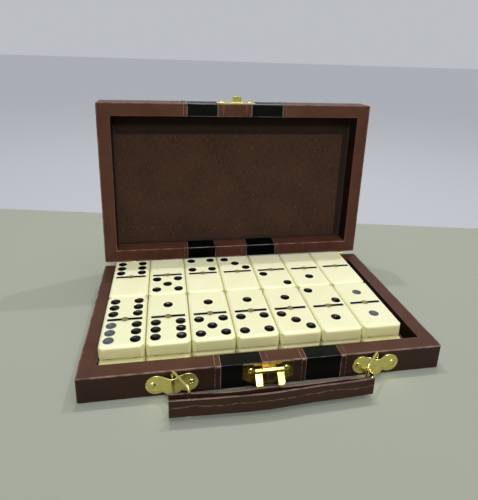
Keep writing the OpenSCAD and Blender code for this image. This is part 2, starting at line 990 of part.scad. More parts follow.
// The hollows of one half, whose middle is at y
module pip_cuts(n, y) {
    ball_r = (pip_d * pip_d / 4 + pip_depth * pip_depth) / (2 * pip_depth);
    for (p = pips(n))
        translate([p[0] * pip_dx, y + p[1] * pip_dy, tile_t + ball_r - pip_depth])
            sphere(ball_r);
}

module tile(t) {
    pin_seat = groove_depth + spinner_sink;
    x = -inner_w / 2 + tray_gap + tile_w / 2 + t[1] * (tile_w + tile_gap);
    translate([x, t[2], t[3]]) {
        color(ivory)
            difference() {
                tile_blank();
                pip_cuts(t[0][0], pip_half);
                pip_cuts(t[0][1], -pip_half);
                translate([0, 0, tile_t - groove_depth])
                    slab(groove_l, groove_w, 0, 1);
                translate([0, 0, tile_t - pin_seat])
                    cylinder(r = spinner_d / 2, h = 1);
                translate([0, 0, tile_t - pin_l])
                    cylinder(r = pin_r + pin_fit, h = pin_l);
            }
        color(brass) {
            translate([0, 0, tile_t - pin_seat + pin_fit])
                cylinder(r = spinner_d / 2 - pin_fit, h = pin_seat - 2 * pin_fit);
            translate([0, 0, tile_t - pin_l + pin_fit])
                cylinder(r = pin_r, h = pin_l - pin_seat);
        }
    }
}

base_long_boards();
base_end_boards();
base_floor_board();
base_cover_ends();
base_cover_centre();
base_bands();
base_bottom_sheet();
base_lining();
lid_long_boards();
lid_end_boards();
lid_top_board();
lid_cover_ends();
lid_cover_centre();
lid_bands();
lid_lining();
catch_plate();
catch_bail();
catch_screws();
keeper_plate();
keeper_screws();
handle_bracket_left();
handle_bracket_right();
bracket_screws();
handle_ring_left();
handle_ring_right();
handle_strap();
handle_core();
hinge_base_leaves();
hinge_lid_leaves();
hinge_pins();
hinge_base_screws();
hinge_lid_screws();
for (t = TILES)
    tile(t);
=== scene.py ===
import json
import math

import bmesh
import bpy
from mathutils import Matrix, Vector, noise


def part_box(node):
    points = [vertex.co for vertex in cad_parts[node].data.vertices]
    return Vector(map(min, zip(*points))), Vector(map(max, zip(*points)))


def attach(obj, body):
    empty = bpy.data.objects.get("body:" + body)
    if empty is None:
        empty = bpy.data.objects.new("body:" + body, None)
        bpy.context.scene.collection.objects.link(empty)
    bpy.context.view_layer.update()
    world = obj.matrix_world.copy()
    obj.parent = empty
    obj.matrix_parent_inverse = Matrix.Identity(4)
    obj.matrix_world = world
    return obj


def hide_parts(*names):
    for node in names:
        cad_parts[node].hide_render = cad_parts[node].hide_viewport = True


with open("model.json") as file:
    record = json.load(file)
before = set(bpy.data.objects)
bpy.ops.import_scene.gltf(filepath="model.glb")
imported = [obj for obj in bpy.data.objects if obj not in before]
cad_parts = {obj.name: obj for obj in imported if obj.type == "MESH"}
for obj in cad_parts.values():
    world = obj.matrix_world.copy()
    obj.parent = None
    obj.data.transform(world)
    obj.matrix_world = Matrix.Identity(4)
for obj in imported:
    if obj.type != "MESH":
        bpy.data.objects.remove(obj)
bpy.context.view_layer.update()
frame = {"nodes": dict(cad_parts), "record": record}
solids = frame["nodes"]
body_of_solid = {n: b for b, ns in frame["record"]["behaviour"]["bodies"].items() for n in ns}
MM = 0.001

# ---------- view ----------
# The open box is seen from its front, a little to the left of its middle and from above,
# at arm's length. The eye's height and place are millimetres from the box's underside.
eye = Vector((-54.855, -249.245, 173.216)) * MM
eye_turn, eye_dip, eye_roll = math.radians(-10.42), math.radians(17.0), math.radians(1.93)
ahead = Vector(
    (-math.sin(eye_turn) * math.cos(eye_dip), math.cos(eye_turn) * math.cos(eye_dip), -math.sin(eye_dip))
)
level_right = Vector((math.cos(eye_turn), math.sin(eye_turn), 0))
level_up = level_right.cross(ahead)
right = level_right * math.cos(eye_roll) + level_up * math.sin(eye_roll)
up = level_up * math.cos(eye_roll) - level_right * math.sin(eye_roll)
lens = bpy.data.cameras.new("viewer")
viewer = bpy.data.objects.new("viewer", lens)
bpy.context.scene.collection.objects.link(viewer)
viewer.matrix_world = Matrix(
    [
        [right.x, up.x, -ahead.x, eye.x],
        [right.y, up.y, -ahead.y, eye.y],
        [right.z, up.z, -ahead.z, eye.z],
        [0, 0, 0, 1],
    ]
)
# the view's size, the lens's length and the point looked straight at, all in pixels
frame_w, frame_h = 478, 500
focal, aim_x, aim_y = 426.367, 241.065, 187.091
lens.sensor_width = 36
lens.lens = focal * 36 / frame_h
lens.shift_x = (frame_w / 2 - aim_x) / frame_h
lens.shift_y = (aim_y - frame_h / 2) / frame_h
lens.clip_start, lens.clip_end = 0.01, 50
bpy.context.scene.camera = viewer

# ---------- wall, floor and top boards ----------
# Wood-fibre boards, glued up into two shallow trays. They are covered all over,
# so only their fine brown fibre is given here.


def paint(code):
    """Linear colour of a colour written as #rrggbb."""
    parts = [int(code[i : i + 2], 16) / 255 for i in (1, 3, 5)]
    return [c / 12.92 if c <= 0.04045 else ((c + 0.055) / 1.055) ** 2.4 for c in parts] + [1]


def put(tree, kind, sockets=(), **settings):
    """Adds a node with its settings. Shader nodes are named without their ShaderNode prefix.
    Sockets are given by name or number, or as a row in the node's order. One that is given
    another node, or an output of it, is linked to it."""
    if not kind.startswith(("Geometry", "Function", "NodeGroup")):
        kind = "ShaderNode" + kind
    made = tree.nodes.new(kind)
    for name, value in settings.items():
        setattr(made, name, value)
    for name, value in sockets.items() if isinstance(sockets, dict) else enumerate(sockets):
        if isinstance(value, bpy.types.Node):
            value = next(output for output in value.outputs if output.enabled)
        if isinstance(value, bpy.types.NodeSocket):
            tree.links.new(value, made.inputs[name])
        else:
            made.inputs[name].default_value = value
    return made


def finish_of(name):
    """A new empty finish, its node tree and the object coordinates in it."""
    made = bpy.data.materials.new(name)
    made.use_nodes = True
    made.node_tree.nodes.clear()
    return made, made.node_tree, put(made.node_tree, "TexCoord").outputs["Object"]


# fibre bundles of pressed board are about 0.6 mm long
fibreboard, tree, place = finish_of("pressed_fibreboard")
fibre = put(tree, "TexNoise", {"Vector": place, "Scale": 1 / (0.6 * MM), "Detail": 4})
mixed = put(tree, "MapRange", (fibre, 0.35, 0.65))
brown = put(tree, "Mix", {0: mixed, 6: paint("#8a6b48"), 7: paint("#a98a63")}, data_type="RGBA")
bump = put(tree, "Bump", {"Height": fibre, "Distance": 0.08 * MM})
board = put(tree, "BsdfPrincipled", {"Base Color": brown, "Roughness": 0.85, "Normal": bump})
put(tree, "OutputMaterial", {"Surface": board})


def refinish(name, *finishes):
    """Gives a solid that stays as it is its finish."""
    mesh = solids[name].data
    mesh.materials.clear()
    for finish in finishes:
        mesh.materials.append(finish)


for name in ("base_long_boards", "base_end_boards", "base_floor_board"):
    refinish(name, fibreboard)
for name in ("lid_long_boards", "lid_end_boards", "lid_top_board"):
    refinish(name, fibreboard)

# ---------- leatherette covering of the base ----------
# Thin brown leatherette glued over the boards, round the rim and down the inside, with
# its corners folded in mitres. Two black bands are let in between sewn hems.


def rim_marks(tree, place, colour, height, axis, edge, middle):
    """Folds, wear, painted shade and a painted highlight round a tray's rim, added to the
    leatherette's colour and height. The rim lies across axis at edge mm, and middle mm is the
    tray's middle along its depth."""
    parts = put(tree, "SeparateXYZ", {"Vector": place}).outputs
    across, depth = (parts["Y"], parts["Z"]) if axis == "Z" else (parts["Z"], parts["Y"])
    out_x = put(tree, "Math", (parts["X"],), operation="ABSOLUTE")
    from_end = put(tree, "Math", (case_w / 2 * MM, out_x), operation="SUBTRACT")
    off_middle = put(tree, "Math", (across, middle * MM), operation="SUBTRACT")
    out_y = put(tree, "Math", (off_middle,), operation="ABSOLUTE")
    from_side = put(tree, "Math", (case_d / 2 * MM, out_y), operation="SUBTRACT")
    from_outside = put(tree, "Math", (from_end, from_side), operation="MINIMUM")
    off_rim = put(tree, "Math", (depth, edge * MM), operation="SUBTRACT")
    past_rim = put(tree, "Math", (off_rim,), operation="ABSOLUTE")

    if axis == "Z":
        # the base's outer faces are painted darker, a painted shade
        dark = put(tree, "MapRange", (from_outside, 0.1 * MM, 0.5 * MM, 0.75, 0))
        colour = put(tree, "Mix", {0: dark, 6: colour, 7: paint("#1f120c")}, data_type="RGBA")

    # folded corners: a dark line about 0.3 mm wide on the diagonal of the rim only
    off_diagonal = put(tree, "Math", (from_end, from_side), operation="SUBTRACT")
    apart = put(tree, "Math", (off_diagonal,), operation="ABSOLUTE")
    near = put(tree, "MapRange", (apart, 0.1 * MM, 0.3 * MM, 1, 0))
    on_rim = put(tree, "Math", (past_rim, 0.35 * MM), operation="LESS_THAN")
    fold = put(tree, "Math", (near, on_rim), operation="MULTIPLY")
    fold_shade = put(tree, "Math", (fold, 0.7), operation="MULTIPLY")
    colour = put(tree, "Mix", {0: fold_shade, 6: colour, 7: paint("#1d1210")}, data_type="RGBA")
    fold_depth = put(tree, "Math", (fold, 1.5), operation="MULTIPLY")
    height = put(tree, "Math", (height, fold_depth), operation="SUBTRACT")

    # rubbed pale lines about 0.5 mm wide along the rim's two edges, broken into patches of 7 mm
    blotches = put(
        tree, "TexNoise", {"Vector": place, "Scale": 1 / (7 * MM), "Detail": 4, "Roughness": 0.6}
    )
    patches = put(tree, "MapRange", (blotches, 0.38, 0.6, 0.25, 1))
    off_outer = put(tree, "Math", (past_rim, from_outside), operation="ADD")
    outer_line = put(tree, "MapRange", (off_outer, 0.35 * MM, 0.85 * MM, 1, 0))
    past_wall = put(tree, "Math", (from_outside, rim_w * MM), operation="SUBTRACT")
    from_inner = put(tree, "Math", (past_wall,), operation="ABSOLUTE")
    off_inner = put(tree, "Math", (past_rim, from_inner), operation="ADD")
    inner_line = put(tree, "MapRange", (off_inner, 0.3 * MM, 0.7 * MM, 1, 0))
    # of the inner edges only the lid's lower one, over the tiles, is painted strongly pale, a painted
    # highlight; the others keep a faint rubbed line
    inner_wear_and_highlight = 0.12
    if axis == "Y":
        low_edge = lid_foot + rim_w * MM
        inner_wear_and_highlight = put(tree, "MapRange", (parts["Z"], low_edge + 1.6 * MM, low_edge + 4.6 * MM, 1, 0.12))
    inner_line = put(tree, "Math", (inner_line, inner_wear_and_highlight), operation="MULTIPLY")
    lines = put(tree, "Math", (outer_line, inner_line), operation="MAXIMUM")
    broken = put(tree, "Math", (lines, patches), operation="MULTIPLY")
    rubbed = put(tree, "Math", (broken, 0.7), operation="MULTIPLY")
    colour = put(tree, "Mix", {0: rubbed, 6: colour, 7: paint("#a5857a")}, data_type="RGBA")

    # the inner faces of the end walls are painted near-black below the rim, a painted shade
    inside = put(tree, "Math", (from_outside, (rim_w - 0.1) * MM), operation="GREATER_THAN")
    near_wall = put(tree, "Math", (from_end, (rim_w + 0.3) * MM), operation="LESS_THAN")
    on_end_wall = put(tree, "Math", (inside, near_wall), operation="MULTIPLY")
    under_rim = put(tree, "MapRange", (past_rim, 0.5 * MM, 1.5 * MM))
    over_floor = put(tree, "Math", (past_rim, (base_high.z - 4) * MM), operation="LESS_THAN")
    within = put(tree, "Math", (under_rim, over_floor), operation="MULTIPLY")
    end_wall_shade = put(tree, "Math", (on_end_wall, within), operation="MULTIPLY")
    unlit = put(tree, "Math", (end_wall_shade, 0.75), operation="MULTIPLY")
    colour = put(tree, "Mix", {0: unlit, 6: colour, 7: paint("#120a07")}, data_type="RGBA")
    return colour, height


def crease_marks(tree, place, colour, height, level):
    """A cracked fold line that wanders by 1.6 mm about a level in mm, painted pale: partly bared cracks and
    partly a painted highlight along the fold.
    """
    parts = put(tree, "SeparateXYZ", {"Vector": place}).outputs
    along = put(tree, "CombineXYZ", {"X": parts["X"]})
    drift = put(tree, "TexNoise", {"Vector": along, "Scale": 1 / (18 * MM), "Detail": 3})
    wander = put(tree, "MapRange", (drift, 0.2, 0.8, -1.6 * MM, 1.6 * MM))
    line = put(tree, "Math", (wander, level * MM), operation="ADD")
    off_line = put(tree, "Math", (parts["Z"], line), operation="SUBTRACT")
    apart = put(tree, "Math", (off_line,), operation="ABSOLUTE")
    near = put(tree, "MapRange", (apart, 0.12 * MM, 0.42 * MM, 1, 0))
    flaking = put(
        tree, "TexNoise", {"Vector": place, "Scale": 1 / (2.2 * MM), "Detail": 3, "Roughness": 0.6}
    )
    cracked = put(tree, "MapRange", (flaking, 0.4, 0.58, 0.15, 1))
    crack = put(tree, "Math", (near, cracked), operation="MULTIPLY")
    bare = put(tree, "Math", (crack, 0.7), operation="MULTIPLY")
    colour = put(tree, "Mix", {0: bare, 6: colour, 7: paint("#8d6c5d")}, data_type="RGBA")
    crack_depth = put(tree, "Math", (crack, 1.2), operation="MULTIPLY")
    return colour, put(tree, "Math", (height, crack_depth), operation="SUBTRACT")


def leatherette(name, deep, lit, gloss, shine=0.22, rim=None, crease=None):
    """Glued leatherette: fine pebbled grain of about 0.5 mm, clouds of about 14 mm. rim and
    crease are what rim_marks and crease_marks are told of the piece."""
    made, tree, place = finish_of(name)
    clouds = put(tree, "TexNoise", {"Vector": place, "Scale": 1 / (14 * MM), "Detail": 3})
    grain = put(tree, "TexVoronoi", {"Vector": place, "Scale": 1 / (0.5 * MM)}, feature="SMOOTH_F1")
    wrinkle = put(tree, "TexNoise", {"Vector": place, "Scale": 1 / (5 * MM), "Detail": 4, "Roughness": 0.6})
    cloudy = put(tree, "MapRange", (clouds, 0.3, 0.7))
    colour = put(tree, "Mix", {0: cloudy, 6: paint(deep), 7: paint(lit)}, data_type="RGBA")
    fine = put(tree, "Math", (grain, 0.5), operation="MULTIPLY")
    coarse = put(tree, "Math", (wrinkle, 0.8), operation="MULTIPLY")
    height = put(tree, "Math", (fine, coarse), operation="ADD")
    if rim:
        colour, height = rim_marks(tree, place, colour, height, *rim)
    if crease:
        colour, height = crease_marks(tree, place, colour, height, crease)
    polish = put(tree, "MapRange", (wrinkle, 0.3, 0.7, gloss - 0.05, gloss + 0.07))
    bump = put(tree, "Bump", {"Height": height, "Distance": 0.05 * MM, "Strength": 0.55})
    skin = put(
        tree,
        "BsdfPrincipled",
        {"Base Color": colour, "Roughness": polish, "Specular IOR Level": shine, "Normal": bump},
    )
    put(tree, "OutputMaterial", {"Surface": skin})
    return made


def worn_edge(name, body_colour, rubbed):
    """Leatherette rubbed paler and shinier where it turns an edge, in patches of about 6 mm."""
    made, tree, place = finish_of(name)
    patch = put(tree, "TexNoise", {"Vector": place, "Scale": 1 / (6 * MM), "Detail": 4, "Roughness": 0.6})
    bare = put(tree, "MapRange", (patch, 0.36, 0.56))
    colour = put(tree, "Mix", {0: bare, 6: paint(body_colour), 7: paint(rubbed)}, data_type="RGBA")
    polish = put(tree, "MapRange", (patch, 0.3, 0.7, 0.36, 0.26))
    edge = put(
        tree, "BsdfPrincipled", {"Base Color": colour, "Roughness": polish, "Specular IOR Level": 0.6}
    )
    put(tree, "OutputMaterial", {"Surface": edge})
    return made


def dressed(solid, name, finish, edge_finish=None, round_mm=0.5, steps=3, turn_over=40):
    """A copy of a solid with its facets merged and its sharp edges rounded. It stands for it."""
    mesh = solids[solid].data.copy()
    mesh.name = name
    shape = bmesh.new()
    shape.from_mesh(mesh)
    bmesh.ops.remove_doubles(shape, verts=shape.verts, dist=2e-6)
    bmesh.ops.dissolve_limit(shape, angle_limit=math.radians(0.6), verts=shape.verts, edges=shape.edges)
    shape.to_mesh(mesh)
    shape.free()
    mesh.materials.clear()
    mesh.materials.append(finish)
    for face in mesh.polygons:
        face.material_index = 0
        face.use_smooth = True
    piece = bpy.data.objects.new(name, mesh)
    bpy.context.scene.collection.objects.link(piece)
    rounding = piece.modifiers.new("rounding", "BEVEL")
    rounding.width = round_mm * MM
    rounding.segments = steps
    rounding.limit_method = "ANGLE"
    rounding.angle_limit = math.radians(turn_over)
    rounding.use_clamp_overlap = True
    if edge_finish:
        mesh.materials.append(edge_finish)
        rounding.material = 1
    piece.modifiers.new("even_shade", "WEIGHTED_NORMAL").weight = 90
    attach(piece, body_of_solid[solid])
    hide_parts(solid)
    return piece


base_low, base_high = (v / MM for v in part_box("base_cover_ends"))
lid_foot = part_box("lid_cover_ends")[0].z
case_w, case_d = base_high.x - base_low.x, base_high.y - base_low.y
rim_w = 9.4
brown_base = leatherette(
    "brown_leatherette", "#46291b", "#513223", 0.42, rim=("Z", base_high.z, 0)
)
brown_rubbed = worn_edge("brown_leatherette_rubbed", "#66443a", "#b08a7e")
black_plain = leatherette("black_leatherette", "#020202", "#050504", 0.36, shine=0.12)
black_rubbed = worn_edge("black_leatherette_rubbed", "#1a1d1b", "#6a6e69")
for solid in ("base_cover_ends", "base_cover_centre"):
    dressed(solid, solid + "_leatherette", brown_base, brown_rubbed)
dressed("base_bands", "base_bands_leatherette", black_plain, black_rubbed)
refinish("base_bottom_sheet", brown_base)

# ---------- lining of the base ----------
# A foam-backed woven panel cut to the tray's floor and glued down on the floor board.
# Its cut edges are soft, and it swells a little between them.


def woven_lining(name, shadow_edges=None):
    """Dark brown cloth of 0.45 mm yarns, with small paler flecks about 5 mm apart.
    The last argument gives the height and the right-hand place in metres past which the
    cloth is painted nearly black, a painted shadow of the walls."""
    made, tree, place = finish_of(name)
    parts = put(tree, "SeparateXYZ", {"Vector": place}).outputs
    shaken = put(tree, "TexNoise", {"Vector": place, "Scale": 1 / (3 * MM), "Detail": 3})
    shift = put(tree, "Math", (shaken, 0.5 * MM), operation="MULTIPLY")
    along = put(tree, "Math", (parts["X"], shift), operation="ADD")
    across = put(tree, "Math", (parts["Y"], parts["Z"]), operation="ADD")
    # two yarns to each wave
    turns = 2 * math.pi / (0.9 * MM)
    warp_turn = put(tree, "Math", (along, turns), operation="MULTIPLY")
    warp = put(tree, "Math", (warp_turn,), operation="SINE")
    weft_turn = put(tree, "Math", (across, turns), operation="MULTIPLY")
    weft = put(tree, "Math", (weft_turn,), operation="SINE")
    yarn = put(tree, "Math", (warp, weft), operation="MULTIPLY")
    # thick places in the yarns, drawn out along them
    drawn = put(tree, "Mapping", {"Vector": place, "Scale": (1.0, 0.12, 0.12)})
    slub = put(tree, "TexNoise", {"Vector": drawn, "Scale": 1 / (0.5 * MM), "Detail": 3, "Roughness": 0.7})
    cloud = put(tree, "TexNoise", {"Vector": place, "Scale": 1 / (25 * MM), "Detail": 3})
    fleck = put(tree, "TexVoronoi", {"Vector": place, "Scale": 1 / (2.6 * MM)}).outputs
    near = put(tree, "MapRange", (fleck["Distance"], 0.06, 0.12, 1, 0))
    chance = put(tree, "SeparateColor", {0: fleck["Color"]}).outputs[0]
    some = put(tree, "Math", (chance, 0.72), operation="GREATER_THAN")
    lit = put(tree, "MapRange", (slub, 0.35, 0.68))
    colour = put(tree, "Mix", {0: lit, 6: paint("#2a1b14"), 7: paint("#4d3526")}, data_type="RGBA")
    cloudy = put(tree, "MapRange", (cloud, 0.35, 0.7, 0, 0.35))
    colour = put(tree, "Mix", {0: cloudy, 6: colour, 7: paint("#55392a")}, data_type="RGBA")
    shown = put(tree, "Math", (near, some), operation="MULTIPLY")
    pale = put(tree, "Math", (shown, 0.7), operation="MULTIPLY")
    colour = put(tree, "Mix", {0: pale, 6: colour, 7: paint("#a08c6c")}, data_type="RGBA")
    # painted shadow: nearly black above a height and to the right of a place
    if shadow_edges:
        upper, beyond = shadow_edges
        at_top = put(tree, "MapRange", (parts["Z"], upper - 0.6 * MM, upper + 0.6 * MM))
        at_right = put(tree, "MapRange", (parts["X"], beyond - 0.6 * MM, beyond + 0.6 * MM))
        shaded = put(tree, "Math", (at_top, at_right), operation="MAXIMUM")
        dark = put(tree, "Math", (shaded, 0.7), operation="MULTIPLY")
        colour = put(tree, "Mix", {0: dark, 6: colour, 7: paint("#0b0705")}, data_type="RGBA")
    weave = put(tree, "Math", (yarn, 0.3), operation="MULTIPLY")
    height = put(tree, "Math", (weave, slub), operation="ADD")
    bump = put(tree, "Bump", {"Height": height, "Distance": 0.18 * MM, "Strength": 0.8})
    cloth = put(
        tree,
        "BsdfPrincipled",
        {
            "Base Color": colour,
            "Roughness": 0.92,
            "Specular IOR Level": 0.15,
            "Sheen Weight": 0.12,
            "Sheen Roughness": 0.5,
            "Normal": bump,
        },
    )
    put(tree, "OutputMaterial", {"Surface": cloth})
    return made


def lining_panel(solid, name, thick_axis, face_side, cloth):
    """A soft panel in the space of the solid: crowned, with edges that round over and waver."""
    low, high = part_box(solid)
    axes = [i for i in range(3) if i != thick_axis]
    # points along its length and its width, about 2 mm apart
    counts = (97, 61)
    outer = high[thick_axis] if face_side > 0 else low[thick_axis]
    inner = low[thick_axis] if face_side > 0 else high[thick_axis]
    thick = abs(outer - inner)
    shape = bmesh.new()
    rows = []
    for layer in (0, 1):
        grid = []
        for i in range(counts[0]):
            line = []
            for j in range(counts[1]):
                u, v = i / (counts[0] - 1), j / (counts[1] - 1)
                a = low[axes[0]] + (high[axes[0]] - low[axes[0]]) * u
                b = low[axes[1]] + (high[axes[1]] - low[axes[1]]) * v
                from_edge = min(
                    a - low[axes[0]], high[axes[0]] - a, b - low[axes[1]], high[axes[1]] - b
                ) / MM
                # it rises steeply within a millimetre or two of its edge, then slowly over 12 mm
                soft = 1 - math.exp(-((from_edge + 0.15) / 1.1))
                ripple = noise.noise(Vector((a, b, 0.3)) / (9 * MM)) * 0.12
                height = 0.72 * thick * soft + 0.16 * thick * min(1, from_edge / 12) + ripple * thick * soft
                point = [0.0, 0.0, 0.0]
                point[axes[0]], point[axes[1]] = a, b
                lift = min(height, 0.98 * thick) if layer else 0.0
                point[thick_axis] = inner + math.copysign(lift, outer - inner)
                line.append(shape.verts.new(point))
            grid.append(line)
        rows.append(grid)
    for grid in rows:
        for i in range(counts[0] - 1):
            for j in range(counts[1] - 1):
                shape.faces.new((grid[i][j], grid[i + 1][j], grid[i + 1][j + 1], grid[i][j + 1]))
    rim = [(i, 0) for i in range(counts[0])] + [(counts[0] - 1, j) for j in range(1, counts[1])]
    rim += [(i, counts[1] - 1) for i in range(counts[0] - 2, -1, -1)] + [
        (0, j) for j in range(counts[1] - 2, 0, -1)
    ]
    for k, (i, j) in enumerate(rim):
        m, n = rim[(k + 1) % len(rim)]
        shape.faces.new((rows[0][i][j], rows[0][m][n], rows[1][m][n], rows[1][i][j]))
    bmesh.ops.recalc_face_normals(shape, faces=shape.faces)
    mesh = bpy.data.meshes.new(name)
    shape.to_mesh(mesh)
    shape.free()
    for face in mesh.polygons:
        face.use_smooth = True
    mesh.materials.append(cloth)
    panel = bpy.data.objects.new(name, mesh)
    bpy.context.scene.collection.objects.link(panel)
    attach(panel, body_of_solid[solid])
    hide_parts(solid)
    return panel


lining_panel("base_lining", "base_lining_cloth", 2, 1, woven_lining("woven_brown_lining"))

# ---------- leatherette covering of the lid ----------
# The lid is made as the base is, a little deeper. The two trays were covered apart, and
# the lid's bands lie about 10 mm to the left of the base's.
lid_low, lid_high = (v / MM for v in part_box("lid_cover_ends"))
lid_middle = (lid_low.z + lid_high.z) / 2
# the lid's leatherette is a lighter copy of the base's, a painted lift of the light on the lid
brown_lid = leatherette(
    "brown_leatherette_lid", "#4f2e21", "#5a382a", 0.42, rim=("Y", lid_low.y, lid_middle)
)
for solid in ("lid_cover_ends", "lid_cover_centre"):
    dressed(solid, solid + "_leatherette", brown_lid, brown_rubbed)
dressed("lid_bands", "lid_bands_leatherette", black_plain, black_rubbed)
# the lid's cloth is painted nearly black under the top wall and beside the right wall, a painted shadow of
# those walls
lid_cloth_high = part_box("lid_lining")[1]
lid_cloth = woven_lining("woven_brown_lining_lid", (lid_cloth_high.z - 15 * MM, lid_cloth_high.x - 6 * MM))
lining_panel("lid_lining", "lid_lining_cloth", 1, -1, lid_cloth)

# ---------- sewn hems beside the bands ----------
# Each brown edge beside a band is folded under and sewn down through both layers. The
# hem stands a little proud of the wall, and its thread lies in a row along its far edge.
hem_t = 0.3
# inside the trays the hems end at this height, and the seams a little above it
hem_end, seam_end = 6.4, 7
# on the rims the hems and the thread are pressed down, so that the shut rims don't meet,
# and the thread is sunk as deep on the inner walls, beside the tiles
rim_press, rim_sink = 0.62, 0.32
hem_rubbed = worn_edge("brown_leatherette_hem_edge", "#54352b", "#8f6e63")
# where along each tray its hems begin and end
base_hems = [(-31.3, -27.9), (-5.3, -1.6), (17.1, 19.9), (40.3, 43.6)]
lid_hems = [(-41.6, -38.8), (-16.5, -12.0), (4.8, 8.9), (32.8, 35.6)]


def wall_path(h, side, foot, inner_foot, turn=0.55):
    """Outline across one wall of a tray, from its outer foot over the rim to its inner foot,
    as points (across, height, outward slope)."""
    outer, inner = case_d / 2, case_d / 2 - rim_w
    points = [(outer, foot, (1, 0))]
    for k in range(5):
        a = math.radians(90 * k / 4)
        points.append(
            (outer - turn + turn * math.cos(a), h - turn + turn * math.sin(a), (math.cos(a), math.sin(a)))
        )
    for k in range(5):
        a = math.radians(90 + 90 * k / 4)
        points.append(
            (inner + turn + turn * math.cos(a), h - turn + turn * math.sin(a), (math.cos(a), math.sin(a)))
        )
    points.append((inner, inner_foot, (-1, 0)))
    return [(side * a, z, (side * n[0], n[1])) for a, z, n in points]


def base_place(x, across, height):
    """The place in the frame of a point of the base."""
    return Vector((x, across, height)) * MM


def lid_place(x, across, height):
    """The place in the frame of a point of the open lid, whose rim faces the front."""
    return Vector((x, lid_high.y - height, lid_middle - across)) * MM


def hem_strips(name, body, hems, h, place_of, foot):
    """The folded edges of one tray as thin strips wrapped round both long walls."""
    shape = bmesh.new()
    for x0, x1 in hems:
        for side in (-1, 1):
            path = wall_path(h, side, foot, hem_end)
            loops = []
            for across, height, slope in path:
                # its section, as places along the wall and heights over it
                section = [
                    (x0, -0.1),
                    (x0, hem_t * 0.5),
                    (x0 + 0.3, hem_t),
                    (x1 - 0.3, hem_t),
                    (x1, hem_t * 0.5),
                    (x1, -0.1),
                ]
                pressed = 1 - rim_press * max(0, slope[1])
                loops.append(
                    [
                        shape.verts.new(place_of(x, across + slope[0] * rise, height + slope[1] * rise))
                        for x, rise in ((x, pressed * lift) for x, lift in section)
                    ]
                )
            for one, two in zip(loops, loops[1:]):
                for k in range(len(one)):
                    m = (k + 1) % len(one)
                    made = shape.faces.new((one[k], one[m], two[m], two[k]))
                    made.material_index = 1 if k in (1, 3) else 0
            shape.faces.new(loops[0])
            shape.faces.new(list(reversed(loops[-1])))
    bmesh.ops.recalc_face_normals(shape, faces=shape.faces)
    mesh = bpy.data.meshes.new(name)
    shape.to_mesh(mesh)
    shape.free()
    mesh.materials.append(brown_base if body == "base" else brown_lid)
    mesh.materials.append(hem_rubbed)
    strips = bpy.data.objects.new(name, mesh)
    bpy.context.scene.collection.objects.link(strips)
    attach(strips, body)
    return strips


hem_strips("base_hems", "base", base_hems, base_high.z, base_place, 0.5)
hem_strips("lid_hems", "lid", lid_hems, lid_high.y - lid_low.y, lid_place, 0.6)

# twisted sewing thread with strands every 0.35 mm
thread, tree, place = finish_of("dark_sewing_thread")
strand = put(tree, "TexNoise", {"Vector": place, "Scale": 1 / (0.35 * MM)})
mixed = put(tree, "MapRange", (strand, 0.4, 0.6))
dark = put(tree, "Mix", {0: mixed, 6: paint("#050303"), 7: paint("#15100e")}, data_type="RGBA")
bump = put(tree, "Bump", {"Height": strand, "Distance": 0.05 * MM})
twist = put(tree, "BsdfPrincipled", {"Base Color": dark, "Roughness": 0.75, "Normal": bump})
put(tree, "OutputMaterial", {"Surface": twist})


def stitch_maker():
    """Geometry nodes that sew stitches along edge lines, a stitch to each pitch."""
    sewing = bpy.data.node_groups.new("row_of_stitches", "GeometryNodeTree")
    face = sewing.interface
    face.new_socket("Geometry", in_out="INPUT", socket_type="NodeSocketGeometry")
    for title in ("Pitch", "Length", "Thickness"):
        face.new_socket(title, in_out="INPUT", socket_type="NodeSocketFloat")
    face.new_socket("Thread", in_out="INPUT", socket_type="NodeSocketMaterial")
    face.new_socket("Geometry", in_out="OUTPUT", socket_type="NodeSocketGeometry")
    given = put(sewing, "NodeGroupInput").outputs
    line = put(sewing, "GeometryNodeMeshToCurve", {"Mesh": given["Geometry"]}).outputs[0]
    points = put(
        sewing, "GeometryNodeCurveToPoints", {"Curve": line, "Length": given["Pitch"]}, mode="LENGTH"
    ).outputs
    turned = put(
        sewing, "FunctionNodeAlignRotationToVector", {"Vector": points["Tangent"]}, axis="Z"
    ).outputs[0]
    size = put(
        sewing, "CombineXYZ", {"X": given["Thickness"], "Y": given["Thickness"], "Z": given["Length"]}
    ).outputs[0]
    bead = put(
        sewing, "GeometryNodeMeshUVSphere", {"Segments": 8, "Rings": 6, "Radius": 0.5}
    ).outputs["Mesh"]
    sewn = put(
        sewing,
        "GeometryNodeInstanceOnPoints",
        {"Points": points["Points"], "Instance": bead, "Rotation": turned, "Scale": size},
    ).outputs[0]
    real = put(sewing, "GeometryNodeRealizeInstances", {"Geometry": sewn}).outputs[0]
    dyed = put(
        sewing, "GeometryNodeSetMaterial", {"Geometry": real, "Material": given["Thread"]}
    ).outputs[0]
    put(sewing, "NodeGroupOutput", {"Geometry": dyed})
    return sewing


row_of_stitches = stitch_maker()


# each stitch is a bead of thread, with a small gap to the next, in mm
stitch_pitch, stitch_length, stitch_thick = 3.1, 2.8, 0.75


